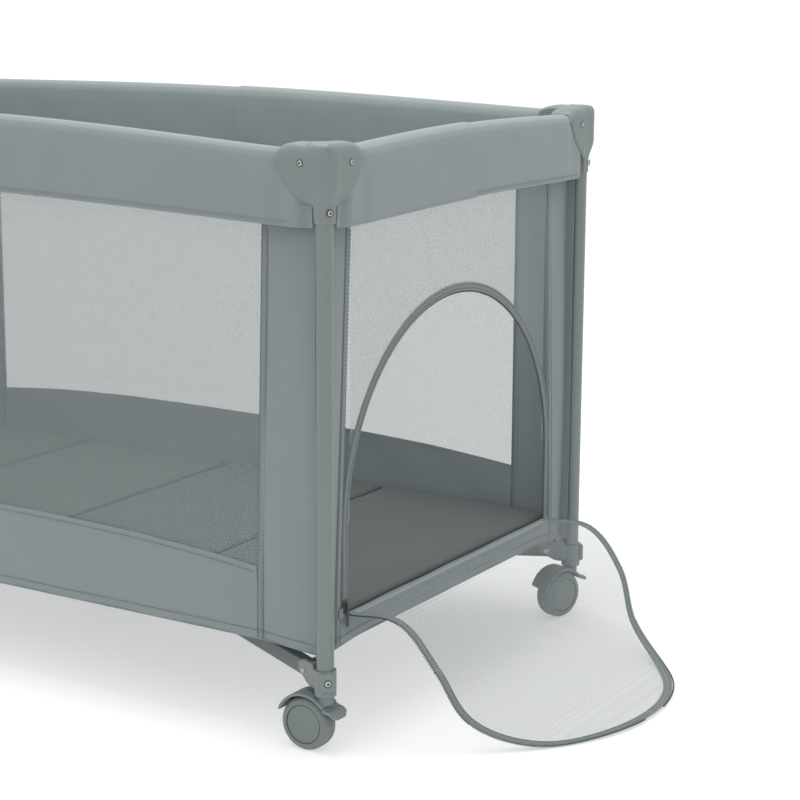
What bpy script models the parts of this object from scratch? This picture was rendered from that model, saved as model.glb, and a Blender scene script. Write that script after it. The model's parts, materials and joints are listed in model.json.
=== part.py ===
"""Folding travel playpen with a zipped door in one end, standing open and locked.

Metres, +Z up. X runs along the pen with the door end at +X, Y runs across it.
The origin is the middle of the centre foot's flat sole, on the ground.
"""

from math import atan2, cos, hypot, pi, radians, sin, sqrt

import bmesh
import bpy
from mathutils import Matrix, Vector

# Driving dimensions
GAP = 0.0003                    # air between pieces that touch
POST_X = 0.600                  # post axes, from the middle
POST_Y = 0.330
POST_R = 0.011
CAP_TOP = 0.760                 # height of the whole pen
CAP_LOW = 0.660
RAIL_Z = 0.737                  # height of the top rail pivots
RAIL_R = 0.010
TUBE_WALL = 0.0011
CAP_PIVOT = 0.032               # post axis to top rail pivot
LOCK_PIVOT = 0.022              # middle of a side to the lock's pivot
LOCK_HALF_LONG = 0.040
LOCK_HALF_WIDE = 0.014
LOCK_HALF_HIGH = 0.018
LOCK_ROOF = 0.0128              # half length of the lock's roof, short of the swinging rails
SLOT_AIR = 0.0006               # air beside a rail in its slot
FOOT_PIVOT = 0.036              # post axis to strut pivot
STRUT_Z = 0.098
STRUT_WIDE = 0.016
STRUT_HIGH = 0.022
STRUT_END = 0.007               # strut beyond its pivot
PIN_R = 0.003
PIN_HOLE_R = 0.0033
BRACKET_LOW = 0.0745
COLLAR_R = 0.0135                # foot bracket round the post
WALL_OFFSET = 0.0135            # post axis to the middle of the fabric wall
WALL_HALF = 0.0015
WALL_LOW = 0.132
WALL_TOP = 0.650
FLOOR_LOW = 0.1325
FLOOR_TOP = 0.1360
MAT_THICK = 0.0235
MAT_X = 0.578
MAT_Y = 0.300
MAT_PADS = 4
BAND_LOW = 0.6525
BAND_TOP = 0.7590
BAND_HALF = 0.0175
BAND_SKIN = 0.0025
CAP_REACH = 0.060               # post axis to the tip of a cap's ear
DOOR_HALF = 0.264
DOOR_SILL = 0.159
DOOR_SPRING = 0.268             # where the arch leaves the straight sides
DOOR_TOP = 0.536
FLAP_HALF_THICK = 0.001
FLAP_ANGLES = (0, 46, 62, 26, 0)    # degrees below level, strip by strip
WHEEL_R = 0.0345
WHEEL_HALF = 0.0135
CASTER_TRAIL = 0.025            # swivel axis to axle
CASTER_TURNS = {"front": 180, "back": 252}   # where each wheel trails, degrees from +X

# Worked out from them
LONG_REACH = POST_X - CAP_PIVOT - LOCK_PIVOT
SHORT_REACH = POST_Y - CAP_PIVOT - LOCK_PIVOT
STRUT_ANGLE = atan2(SHORT_REACH, LONG_REACH)
STRUT_REACH = hypot(LONG_REACH, SHORT_REACH)
EAR_X = POST_X - FOOT_PIVOT * cos(STRUT_ANGLE) - LONG_REACH
EAR_Y = POST_Y - FOOT_PIVOT * sin(STRUT_ANGLE) - SHORT_REACH
CORNERS = {
    "front_door": (1, -1),
    "back_door": (1, 1),
    "front_plain": (-1, -1),
    "back_plain": (-1, 1),
}
COLOURS = {
    "fabric": ((0.235, 0.265, 0.265), 0.85, 0.0),
    "mat_fabric": ((0.135, 0.155, 0.152), 0.85, 0.0),
    "mesh": ((0.480, 0.525, 0.525), 0.80, 0.0),
    "tube": ((0.205, 0.235, 0.230), 0.40, 0.3),
    "plastic": ((0.215, 0.245, 0.240), 0.45, 0.0),
    "rubber": ((0.120, 0.135, 0.133), 0.75, 0.0),
}


def clear_scene():
    for old in list(bpy.data.objects):
        bpy.data.objects.remove(old, do_unlink=True)


def make_material(name):
    colour, roughness, metallic = COLOURS[name]
    material = bpy.data.materials.new(name)
    material.use_nodes = True
    shader = material.node_tree.nodes["Principled BSDF"]
    shader.inputs["Base Color"].default_value = (*colour, 1.0)
    shader.inputs["Roughness"].default_value = roughness
    shader.inputs["Metallic"].default_value = metallic
    return material


def add_object(name, bm, finish=None):
    bmesh.ops.recalc_face_normals(bm, faces=bm.faces)
    mesh = bpy.data.meshes.new(name)
    bm.to_mesh(mesh)
    bm.free()
    piece = bpy.data.objects.new(name, mesh)
    bpy.context.scene.collection.objects.link(piece)
    if finish:
        material = make_material(finish)
        material.name = name
        mesh.materials.append(material)
    return piece


def combine(target, tool, operation):
    """Joins tool to target, or cuts it out of target, and removes tool."""
    modifier = target.modifiers.new("combine", "BOOLEAN")
    modifier.operation = operation
    modifier.solver = "EXACT"
    modifier.object = tool
    graph = bpy.context.evaluated_depsgraph_get()
    shape = bpy.data.meshes.new_from_object(target.evaluated_get(graph))
    target.modifiers.clear()
    target.data = shape
    bpy.data.objects.remove(tool, do_unlink=True)


def join(target, *tools):
    for tool in tools:
        combine(target, tool, "UNION")


def cut(target, *tools):
    for tool in tools:
        combine(target, tool, "DIFFERENCE")


def finish_piece(piece, pivot):
    """Puts the piece's origin on its joint's axis and shades its round faces smooth."""
    pivot = Vector(pivot)
    piece.data.transform(Matrix.Translation(-pivot))
    piece.location = pivot
    piece.parent = bpy.data.objects["playpen"]
    piece.data.shade_smooth()
    piece.data.set_sharp_from_angle(angle=radians(35))


def box(name, low, high, finish=None):
    bm = bmesh.new()
    bmesh.ops.create_cube(bm, size=1.0)
    low, high = Vector(low), Vector(high)
    size = high - low
    bmesh.ops.scale(bm, vec=size, verts=bm.verts)
    bmesh.ops.translate(bm, vec=(low + high) / 2, verts=bm.verts)
    return add_object(name, bm, finish)


def turned_box(name, low, high, angle, origin, finish=None):
    """A box given along a direction in plan, then turned to it and moved to origin."""
    piece = box(name, low, high, finish)
    piece.data.transform(Matrix.Translation(origin) @ Matrix.Rotation(angle, 4, "Z"))
    return piece


def rod(name, start, end, radius, segments=16, finish=None):
    start, end = Vector(start), Vector(end)
    along = end - start
    bm = bmesh.new()
    bmesh.ops.create_cone(
        bm, cap_ends=True, segments=segments, radius1=radius, radius2=radius, depth=along.length
    )
    turn = along.to_track_quat("Z", "Y").to_matrix().to_4x4()
    bmesh.ops.transform(bm, matrix=Matrix.Translation((start + end) / 2) @ turn, verts=bm.verts)
    return add_object(name, bm, finish)


def tube(name, start, end, radius, wall, finish, segments=16):
    """An open-ended round tube."""
    start, end = Vector(start), Vector(end)
    beyond = (end - start).normalized() * 0.01
    piece = rod(name, start, end, radius, segments, finish)
    cut(piece, rod("bore", start - beyond, end + beyond, radius - wall, segments))
    return piece


def prism(name, outline, depth, matrix, finish=None):
    """A plane outline, given as (x, y) points, pulled along its own Z from 0 to depth."""
    bm = bmesh.new()
    verts = [bm.verts.new((x, y, 0)) for x, y in outline]
    face = bm.faces.new(verts)
    pulled = bmesh.ops.extrude_face_region(bm, geom=[face])
    moved = [item for item in pulled["geom"] if isinstance(item, bmesh.types.BMVert)]
    bmesh.ops.translate(bm, vec=(0, 0, depth), verts=moved)
    bmesh.ops.transform(bm, matrix=matrix, verts=bm.verts)
    return add_object(name, bm, finish)


def turned(name, profile, matrix, segments, finish):
    """A profile of (radius, height) points spun round Z; points on the axis close it."""
    bm = bmesh.new()
    verts = [bm.verts.new((r, 0, z)) for r, z in profile]
    edges = [bm.edges.new(pair) for pair in zip(verts, verts[1:])]
    bmesh.ops.spin(
        bm, geom=verts + edges, cent=(0, 0, 0), axis=(0, 0, 1), angle=2 * pi,
        steps=segments, use_merge=True,
    )
    bmesh.ops.remove_doubles(bm, verts=bm.verts, dist=0.00001)
    bmesh.ops.transform(bm, matrix=matrix, verts=bm.verts)
    return add_object(name, bm, finish)


def to_corner(piece, corner):
    """Moves a piece modelled inward of a post at the origin, +X and +Y inward, to its corner."""
    sx, sy = CORNERS[corner]
    place = Matrix.Translation((sx * POST_X, sy * POST_Y, 0)) @ Matrix.Diagonal((-sx, -sy, 1, 1))
    piece.data.transform(place)
    if sx * sy < 0:
        piece.data.flip_normals()


def inward(corner):
    """Direction in plan from a corner's post to its hub ear."""
    sx, sy = CORNERS[corner]
    return Vector((-sx * cos(STRUT_ANGLE), -sy * sin(STRUT_ANGLE), 0))


def foot_point(corner):
    sx, sy = CORNERS[corner]
    return Vector((sx * POST_X, sy * POST_Y, STRUT_Z)) + FOOT_PIVOT * inward(corner)


def ear_point(corner):
    sx, sy = CORNERS[corner]
    return Vector((sx * EAR_X, sy * EAR_Y, STRUT_Z))


def make_post(corner):
    sx, sy = CORNERS[corner]
    x, y = sx * POST_X, sy * POST_Y
    post = tube("post_" + corner, (x, y, 0.088), (x, y, 0.728), POST_R, TUBE_WALL, "tube", 20)
    finish_piece(post, foot_point(corner))


def make_cap(corner):
    """A moulded cap with an ear over the end of each top rail, which is slotted for the rail."""
    step = 0.0012               # the corner stands a little proud of the ears
    ear = (
        (0, CAP_TOP - step), (0.050, CAP_TOP - step), (0.057, 0.756), (CAP_REACH, 0.748),
        (0.058, 0.737), (0.0498, 0.718), (0.0351, 0.702), (0.0250, 0.694), (0.014, 0.686),
        (0.012, CAP_LOW + step), (0, CAP_LOW + step),
    )
    half = BAND_HALF
    slot_half = RAIL_R + SLOT_AIR
    upright = Matrix.Translation((0, half, 0)) @ Matrix.Rotation(radians(90), 4, "X")
    aside = Matrix.Rotation(radians(90), 4, "Z") @ upright
    cap = rod("cap_" + corner, (0, 0, CAP_LOW), (0, 0, CAP_TOP), half + step, 24, "plastic")
    join(cap, prism("ear_long", ear, 2 * half, upright), prism("ear_short", ear, 2 * half, aside))
    cut(
        cap,
        box("slot_long", (0.0169, -slot_half, 0.60), (0.09, slot_half, 0.7531)),
        box("slot_short", (-slot_half, 0.0169, 0.60), (slot_half, 0.09, 0.7531)),
        rod("socket", (0, 0, 0.60), (0, 0, 0.7284), POST_R + GAP, 20),
    )
    reach = half - 0.002
    join(
        cap,
        rod("pin_long", (CAP_PIVOT, -reach, RAIL_Z), (CAP_PIVOT, reach, RAIL_Z), PIN_R, 10),
        rod("pin_short", (-reach, CAP_PIVOT, RAIL_Z), (reach, CAP_PIVOT, RAIL_Z), PIN_R, 10),
    )
    to_corner(cap, corner)
    finish_piece(cap, foot_point(corner))


def make_bracket(corner):
    """The collar under a post, with two cheeks and a rivet for the strut."""
    cheek = 0.004
    half = STRUT_WIDE / 2 + GAP
    bracket = rod("foot_bracket_" + corner, (0, 0, BRACKET_LOW), (0, 0, 0.118), COLLAR_R, 24, "plastic")
    join(
        bracket,
        turned_box(
            "cheeks", (0.008, -half - cheek, 0.083), (FOOT_PIVOT + 0.012, half + cheek, 0.1125),
            STRUT_ANGLE, (0, 0, 0),
        ),
    )
    cut(
        bracket,
        turned_box("slot", (0.0222, -half, 0.060), (0.070, half, 0.130), STRUT_ANGLE, (0, 0, 0)),
        rod("socket", (0, 0, 0.0877), (0, 0, 0.130), POST_R + GAP, 20),
    )
    pivot = Vector((FOOT_PIVOT * cos(STRUT_ANGLE), FOOT_PIVOT * sin(STRUT_ANGLE), STRUT_Z))
    across = Vector((-sin(STRUT_ANGLE), cos(STRUT_ANGLE), 0)) * (half + cheek / 2)
    join(bracket, rod("rivet", pivot - across, pivot + across, PIN_R, 10))
    to_corner(bracket, corner)
    finish_piece(bracket, foot_point(corner))


def make_strut(corner):
    """A flattened tube from the foot bracket to the hub, drilled for both rivets."""
    start, end = foot_point(corner), ear_point(corner)
    along = (end - start).normalized()
    angle = atan2(along.y, along.x)
    half, high = STRUT_WIDE / 2, STRUT_HIGH / 2
    low, far = -STRUT_END, STRUT_REACH + STRUT_END
    strut = turned_box("strut_" + corner, (low, -half, -high), (far, half, high), angle, start, "tube")
    wall = 0.0014
    cut(
        strut,
        turned_box(
            "bore", (low - 0.01, wall - half, wall - high), (far + 0.01, half - wall, high - wall),
            angle, start,
        ),
    )
    across = along.cross(Vector((0, 0, 1))) * STRUT_WIDE
    for pivot in (start, end):
        cut(strut, rod("rivet_hole", pivot - across, pivot + across, PIN_HOLE_R, 10))
    finish_piece(strut, start)


def make_hub():
    """The block under the floor that carries the four struts and stands on a leg."""
    hub = box("centre_hub", (-0.046, -0.058, 0.080), (0.046, 0.058, 0.1315), "plastic")
    join(hub, rod("leg", (0, 0, 0.0083), (0, 0, 0.100), 0.020, 20))
    half = STRUT_WIDE / 2 + GAP
    for corner in CORNERS:
        ear = ear_point(corner)
        out = -inward(corner)
        angle = atan2(out.y, out.x)
        cut(
            hub,
            turned_box("slot", (-0.0136, -half, 0.060), (0.09, half, 0.1116), angle, (ear.x, ear.y, 0)),
        )
    for corner in CORNERS:
        ear = ear_point(corner)
        across = inward(corner).cross(Vector((0, 0, 1))) * (half + 0.002)
        join(hub, rod("rivet", ear - across, ear + across, PIN_R, 10))
    finish_piece(hub, ear_point("front_door"))
    sole = ((0, 0), (0.027, 0), (0.030, 0.003), (0.030, 0.008), (0, 0.008))
    pad = turned("centre_foot_pad", sole, Matrix.Identity(4), 24, "rubber")
    finish_piece(pad, ear_point("front_door"))
    strap = box("hub_pull_strap", (-0.0175, -0.0325, 0.1318), (0.0175, 0.0325, 0.1355), "fabric")
    finish_piece(strap, ear_point("front_door"))


def side_matrix(side):
    """Turns a piece modelled along X at Y = 0, with +Y outward, to one side of the pen."""
    x, y, turn = {
        "back": (0, POST_Y, 0),
        "front": (0, -POST_Y, 180),
        "door": (POST_X, 0, -90),
        "plain": (-POST_X, 0, 90),
    }[side]
    return Matrix.Translation((x, y, 0)) @ Matrix.Rotation(radians(turn), 4, "Z")


SIDES = {
    # side: half its length, then the corner at the lock's driven end and the other corner
    "front": (POST_X, "door", "plain"),
    "back": (POST_X, "door", "plain"),
    "door": (POST_Y, "front", "back"),
    "plain": (POST_Y, "front", "back"),
}


def end_sign(side, end):
    """+1 or -1: where the named end lies along the side's own X."""
    world = {"door": (1, 0), "plain": (-1, 0), "front": (0, -1), "back": (0, 1)}[end]
    own = side_matrix(side).to_3x3().inverted() @ Vector((*world, 0))
    return round(own.x)


def make_rail(side, end):
    half_side = SIDES[side][0]
    sign = end_sign(side, end)
    outer = half_side - CAP_PIVOT
    place = side_matrix(side)
    rail = tube(
        "top_rail_" + side + "_" + end,
        place @ Vector((sign * (outer + 0.010), 0, RAIL_Z)),
        place @ Vector((sign * (LOCK_PIVOT - 0.010), 0, RAIL_Z)),
        RAIL_R, TUBE_WALL, "tube",
    )
    for x in (outer, LOCK_PIVOT):
        low, high = (place @ Vector((sign * x, y, RAIL_Z)) for y in (-0.02, 0.02))
        cut(rail, rod("pin_hole", low, high, PIN_HOLE_R, 10))
    finish_piece(rail, place @ Vector((sign * outer, 0, RAIL_Z)))


def make_lock(side):
    """The centre catch of a top rail: a channel over both rail ends, pinned to one of them."""
    place = side_matrix(side)
    sign = end_sign(side, SIDES[side][1])
    low, high = RAIL_Z - LOCK_HALF_HIGH, RAIL_Z + LOCK_HALF_HIGH
    lock = box(
        "rail_lock_" + side,
        (-LOCK_HALF_LONG, -LOCK_HALF_WIDE, low), (LOCK_HALF_LONG, LOCK_HALF_WIDE, high), "plastic",
    )
    slot_half = RAIL_R + SLOT_AIR
    far, above = LOCK_HALF_LONG + 0.01, high + 0.01
    cut(
        lock,
        box("channel", (-far, -slot_half, low - 0.01), (far, slot_half, RAIL_Z + 0.0145)),
        box("rail_room_1", (LOCK_ROOF, -slot_half, low), (far, slot_half, above)),
        box("rail_room_2", (-far, -slot_half, low), (-LOCK_ROOF, slot_half, above)),
    )
    x = sign * LOCK_PIVOT
    join(
        lock,
        box("web", (-0.005, -0.012, RAIL_Z - 0.012), (0.005, 0.012, RAIL_Z + 0.016)),
        rod("pin", (x, -0.012, RAIL_Z), (x, 0.012, RAIL_Z), PIN_R, 10),
    )
    lock.data.transform(place)
    finish_piece(lock, place @ Vector((x, 0, RAIL_Z)))


def make_band(side):
    """The padded sleeve over a top rail, as an upturned channel between two caps."""
    half = SIDES[side][0] - CAP_REACH - 0.0005
    out, skin = BAND_HALF, BAND_SKIN
    section = (
        (-out, BAND_LOW), (-out + skin, BAND_LOW), (-out + skin, BAND_TOP - skin),
        (out - skin, BAND_TOP - skin), (out - skin, BAND_LOW), (out, BAND_LOW),
        (out, BAND_TOP), (-out, BAND_TOP),
    )
    # The section's own X is across the side, its Y is up and its Z is along the side.
    stand = Matrix(((0, 0, 1, -half), (1, 0, 0, 0), (0, 1, 0, 0), (0, 0, 0, 1)))
    band = prism("top_band_" + side, section, 2 * half, side_matrix(side) @ stand, "fabric")
    finish_piece(band, side_matrix(side) @ Vector((0, 0, RAIL_Z)))


def door_outline(half, sill, spring, top, steps):
    """The door's arch: a level sill, straight sides and a half ellipse."""
    points = [(-half, sill), (half, sill)]
    for i in range(steps + 1):
        turn = pi * i / steps
        points.append((half * cos(turn), spring + (top - spring) * sin(turn)))
    return points


def make_wall(side):
    half = POST_X if side in ("front", "back") else POST_Y
    trim = 0.0155 if side in ("front", "back") else 0.0115
    low = (trim - half, -WALL_OFFSET - WALL_HALF, WALL_LOW)
    high = (half - trim, -WALL_OFFSET + WALL_HALF, WALL_TOP)
    wall = box("wall_" + side, low, high, "mesh")
    if side == "door":
        across = Matrix(((1, 0, 0, 0), (0, 0, 1, -0.03), (0, 1, 0, 0), (0, 0, 0, 1)))
        arch = door_outline(DOOR_HALF, DOOR_SILL, DOOR_SPRING, DOOR_TOP, 20)
        cut(wall, prism("arch", arch, 0.04, across))
    wall.data.transform(side_matrix(side))
    finish_piece(wall, side_matrix(side) @ Vector((0, -WALL_OFFSET, WALL_LOW)))


def make_floor():
    x = POST_X - 0.017
    y = POST_Y - 0.017
    floor = box("floor_sheet", (-x, -y, FLOOR_LOW), (x, y, FLOOR_TOP), "fabric")
    cut(floor, box("strap_hole", (-0.020, -0.035, 0.12), (0.020, 0.035, 0.15)))
    finish_piece(floor, ear_point("front_door"))


def make_mat():
    """Four pads that fold on each other, numbered from the door end."""
    step = 2 * MAT_X / MAT_PADS
    low = FLOOR_TOP + 0.0005
    for i in range(MAT_PADS):
        right = MAT_X - step * i
        pad = box(
            f"mat_pad_{i + 1}", (right - step + 0.0005, -MAT_Y, low),
            (right - 0.0005, MAT_Y, low + MAT_THICK), "mat_fabric",
        )
        finish_piece(pad, (right, 0, low))


def flap_points():
    """The flap's section in X and Z, from its sewn root to its tip on the ground."""
    length = (DOOR_TOP - DOOR_SILL) / len(FLAP_ANGLES)
    x, z = POST_X - 0.0095, DOOR_SILL
    points = [(x, z)]
    for fall in FLAP_ANGLES:
        x += length * cos(radians(fall))
        z -= length * sin(radians(fall))
        points.append((x, z))
    return points


def door_width(height):
    if height <= DOOR_SPRING:
        return DOOR_HALF
    rise = min(1.0, (height - DOOR_SPRING) / (DOOR_TOP - DOOR_SPRING))
    return max(0.012, DOOR_HALF * sqrt(1 - rise * rise))


def make_flap():
    """The open door, draped to the ground, in strips that hinge on each other."""
    points = flap_points()
    length = (DOOR_TOP - DOOR_SILL) / len(FLAP_ANGLES)
    trim = 0.0006
    steps = 6
    for i, fall in enumerate(FLAP_ANGLES):
        side = []
        for k in range(steps + 1):
            along = trim + (length - 2 * trim) * k / steps
            side.append((along, door_width(DOOR_SILL + length * i + along)))
        outline = [(s, -w) for s, w in side] + [(s, w) for s, w in reversed(side)]
        x, z = points[i]
        place = (
            Matrix.Translation((x, 0, z))
            @ Matrix.Rotation(radians(fall), 4, "Y")
            @ Matrix.Translation((0, 0, -FLAP_HALF_THICK))
        )
        strip = prism(f"door_flap_{i + 1}", outline, 2 * FLAP_HALF_THICK, place, "mesh")
        finish_piece(strip, (x, 0, z))


def make_zip():
    x = POST_X - 0.0115
    slider = box("zip_slider", (x, -0.275, 0.164), (x + 0.004, -0.2655, 0.180), "plastic")
    finish_piece(slider, (x, -0.270, 0.172))
    pull = box("zip_pull", (x + 0.00475, -0.2735, 0.145), (x + 0.00625, -0.267, 0.176), "plastic")
    finish_piece(pull, (x + 0.0055, -0.270, 0.175))


def caster_place(where):
    """From a caster modelled trailing along +X, face to +Y, to its corner."""
    sy = -1 if where == "front" else 1
    turn = Matrix.Rotation(radians(CASTER_TURNS[where]), 4, "Z")
    return Matrix.Translation((POST_X, sy * POST_Y, 0)) @ turn


def make_caster(where):
    place = caster_place(where)
    inner, outer = WHEEL_R + 0.003, WHEEL_R + 0.006
    plate_low, plate_high = -0.0185, -0.0143
    axle_z = WHEEL_R
    # Outline in the wheel's plane: the hood's arch and the plate down to the axle.
    arch = [(0, -0.006)]
    arch += [(outer * cos(radians(a)), outer * sin(radians(a))) for a in range(22, 139, 4)]
    upright = Matrix.Translation((CASTER_TRAIL, 0.0150, axle_z)) @ Matrix.Rotation(radians(90), 4, "X")
    hood = prism("caster_hood_" + where, arch, 0.0150 - plate_low, upright, "plastic")
    join(hood, rod("neck", (0, 0, 0.062), (0, 0, BRACKET_LOW - GAP), 0.0095, 16))
    cut(hood, rod("room", (CASTER_TRAIL, plate_high, axle_z), (CASTER_TRAIL, 0.04, axle_z), inner, 40))
    join(
        hood,
        rod("boss", (CASTER_TRAIL, plate_low, axle_z), (CASTER_TRAIL, plate_high, axle_z), 0.009, 16),
        rod("axle", (CASTER_TRAIL, -0.016, axle_z), (CASTER_TRAIL, 0.008, axle_z), PIN_R, 10),
    )
    hood.data.transform(place)
    finish_piece(hood, place @ Vector((0, 0, BRACKET_LOW)))

    bevel = 0.003
    profile = (
        (0, WHEEL_HALF), (WHEEL_R - bevel, WHEEL_HALF), (WHEEL_R, WHEEL_HALF - bevel),
        (WHEEL_R, bevel - WHEEL_HALF), (WHEEL_R - bevel, -WHEEL_HALF),
        (PIN_HOLE_R, -WHEEL_HALF), (PIN_HOLE_R, 0.009), (0, 0.009),
    )
    face_out = Matrix.Translation((CASTER_TRAIL, 0, axle_z)) @ Matrix.Rotation(radians(-90), 4, "X")
    wheel = turned("caster_wheel_" + where, profile, place @ face_out, 32, "rubber")
    finish_piece(wheel, place @ Vector((CASTER_TRAIL, 0, axle_z)))

    pivot_r, swing = WHEEL_R + 0.0045, radians(142.6)
    px = CASTER_TRAIL + pivot_r * cos(swing)
    pz = axle_z + pivot_r * sin(swing)
    pedal = rod("brake_pedal_" + where, (px, -0.0180, pz), (px, 0.0145, pz), 0.0022, 12, "plastic")
    blade = box("blade", (0, -0.0180, -0.0014), (0.021, 0.0145, 0.0014))
    blade.data.transform(
        Matrix.Translation((px, 0, pz)) @ Matrix.Rotation(radians(180 - 35), 4, "Y")
    )
    join(pedal, blade)
    pedal.data.transform(place)
    finish_piece(pedal, place @ Vector((px, 0, pz)))


def make_fixed_foot(where):
    sy = -1 if where == "front" else 1
    profile = (
        (0, 0), (0.019, 0), (0.021, 0.003), (0.021, 0.010), (0.015, 0.020),
        (0.0120, 0.055), (0.0130, BRACKET_LOW - GAP), (0, BRACKET_LOW - GAP),
    )
    place = Matrix.Translation((-POST_X, sy * POST_Y, 0))
    foot = turned("fixed_foot_" + where, profile, place, 24, "plastic")
    finish_piece(foot, (-POST_X, sy * POST_Y, 0))


def main():
    clear_scene()
    root = bpy.data.objects.new("playpen", None)
    bpy.context.scene.collection.objects.link(root)
    for corner in CORNERS:
        make_post(corner)
        make_cap(corner)
        make_bracket(corner)
        make_strut(corner)
    make_hub()
    for side, (_, driven, free) in SIDES.items():
        make_rail(side, driven)
        make_rail(side, free)
        make_lock(side)
        make_band(side)
        make_wall(side)
    make_floor()
    make_mat()
    make_flap()
    make_zip()
    for where in ("front", "back"):
        make_caster(where)
        make_fixed_foot(where)


main()
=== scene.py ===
import json
from math import atan2, cos, pi, radians, sin, sqrt

import bmesh
import bpy
from mathutils import Matrix, Vector

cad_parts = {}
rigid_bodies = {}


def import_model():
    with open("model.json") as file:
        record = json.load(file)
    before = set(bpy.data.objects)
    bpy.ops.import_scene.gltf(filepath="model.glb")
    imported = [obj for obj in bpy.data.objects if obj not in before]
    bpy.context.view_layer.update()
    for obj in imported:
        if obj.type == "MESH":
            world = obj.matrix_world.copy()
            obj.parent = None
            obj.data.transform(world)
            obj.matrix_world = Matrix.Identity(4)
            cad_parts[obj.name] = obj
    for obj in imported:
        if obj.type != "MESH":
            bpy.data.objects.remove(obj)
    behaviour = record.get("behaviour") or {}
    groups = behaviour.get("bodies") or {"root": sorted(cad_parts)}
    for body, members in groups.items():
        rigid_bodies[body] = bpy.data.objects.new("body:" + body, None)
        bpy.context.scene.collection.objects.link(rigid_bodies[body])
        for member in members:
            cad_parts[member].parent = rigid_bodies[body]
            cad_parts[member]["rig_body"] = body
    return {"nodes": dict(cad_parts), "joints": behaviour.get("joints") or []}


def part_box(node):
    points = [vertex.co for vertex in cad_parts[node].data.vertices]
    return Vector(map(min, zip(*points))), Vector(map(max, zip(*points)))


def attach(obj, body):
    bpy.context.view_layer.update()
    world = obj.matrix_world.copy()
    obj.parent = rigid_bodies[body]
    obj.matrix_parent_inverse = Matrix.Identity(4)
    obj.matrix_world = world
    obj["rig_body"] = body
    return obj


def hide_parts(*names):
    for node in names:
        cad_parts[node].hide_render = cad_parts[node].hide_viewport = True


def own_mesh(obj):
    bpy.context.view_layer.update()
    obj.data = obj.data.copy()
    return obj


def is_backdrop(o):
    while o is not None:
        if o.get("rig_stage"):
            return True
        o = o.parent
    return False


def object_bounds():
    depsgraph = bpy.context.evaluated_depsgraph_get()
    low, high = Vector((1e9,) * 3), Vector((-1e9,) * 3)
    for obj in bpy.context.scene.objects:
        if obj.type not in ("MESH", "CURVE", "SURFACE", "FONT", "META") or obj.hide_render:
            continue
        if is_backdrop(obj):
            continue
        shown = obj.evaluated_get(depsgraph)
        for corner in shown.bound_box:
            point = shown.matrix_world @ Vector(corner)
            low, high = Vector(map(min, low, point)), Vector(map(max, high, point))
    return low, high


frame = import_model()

cadLow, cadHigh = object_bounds()
up = Vector((0, 0, 1))


def middle(node):
    low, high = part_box(node)
    return (low + high) / 2


postX = middle("post_front_door").x
postY = middle("post_back_door").y
corners = {"front_door": (1, -1), "back_door": (1, 1), "front_plain": (-1, -1), "back_plain": (-1, 1)}
sides = {
    "front": {"out": Vector((0, -1, 0)), "at": postY, "half": postX, "body": "corner_front_door"},
    "back": {"out": Vector((0, 1, 0)), "at": postY, "half": postX, "body": "corner_back_door"},
    "door": {"out": Vector((1, 0, 0)), "at": postX, "half": postY, "body": "corner_front_door"},
    "plain": {"out": Vector((-1, 0, 0)), "at": postX, "half": postY, "body": "corner_front_plain"},
}
for side in sides.values():
    side["along"] = Vector((1, 0, 0)) if side["out"].x == 0 else Vector((0, 1, 0))


def onSide(side, along, out, height):
    # along the side's top rail, outwards from the line through its posts, and up
    s = sides[side]
    return s["along"] * along + s["out"] * (s["at"] + out) + up * height


def ease(t):
    t = min(1.0, max(0.0, t))
    return t * t * (3 - 2 * t)


def freshMaterial(name, roughness, metallic=0.0, sheen=0.0, coat=0.0):
    material = bpy.data.materials.new(name)
    material.use_nodes = True
    shader = material.node_tree.nodes["Principled BSDF"]
    shader.inputs["Roughness"].default_value = roughness
    shader.inputs["Metallic"].default_value = metallic
    shader.inputs["Sheen Weight"].default_value = sheen
    shader.inputs["Sheen Roughness"].default_value = 0.5
    shader.inputs["Coat Weight"].default_value = coat
    return material, material.node_tree, shader


def maths(tree, operation, *values):
    node = tree.nodes.new("ShaderNodeMath")
    node.operation = operation
    for socket, value in zip(node.inputs, values):
        if isinstance(value, (int, float)):
            socket.default_value = value
        else:
            tree.links.new(value, socket)
    return node.outputs[0]


def noise(tree, vector, scale, detail=2.0):
    node = tree.nodes.new("ShaderNodeTexNoise")
    node.inputs["Scale"].default_value = scale
    node.inputs["Detail"].default_value = detail
    tree.links.new(vector, node.inputs["Vector"])
    return node.outputs["Fac"]


def tinted(tree, shader, factor, colour, spread):
    mix = tree.nodes.new("ShaderNodeMix")
    mix.data_type = "RGBA"
    mix.inputs[6].default_value = (*(c * (1 - spread) for c in colour), 1)
    mix.inputs[7].default_value = (*(c * (1 + spread) for c in colour), 1)
    tree.links.new(factor, mix.inputs[0])
    tree.links.new(mix.outputs[2], shader.inputs["Base Color"])


def bumped(tree, shader, height, depth, strength=0.6):
    bump = tree.nodes.new("ShaderNodeBump")
    bump.inputs["Distance"].default_value = depth
    bump.inputs["Strength"].default_value = strength
    tree.links.new(height, bump.inputs["Height"])
    tree.links.new(bump.outputs[0], shader.inputs["Normal"])


def sheetCoordinates(tree, lying):
    # along and across a sheet that stands on a side of the pen, or lies level
    place = tree.nodes.new("ShaderNodeTexCoord").outputs["Object"]
    split = tree.nodes.new("ShaderNodeSeparateXYZ")
    tree.links.new(place, split.inputs[0])
    if lying:
        return place, split.outputs["X"], split.outputs["Y"]
    return place, maths(tree, "ADD", split.outputs["X"], split.outputs["Y"]), split.outputs["Z"]


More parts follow.
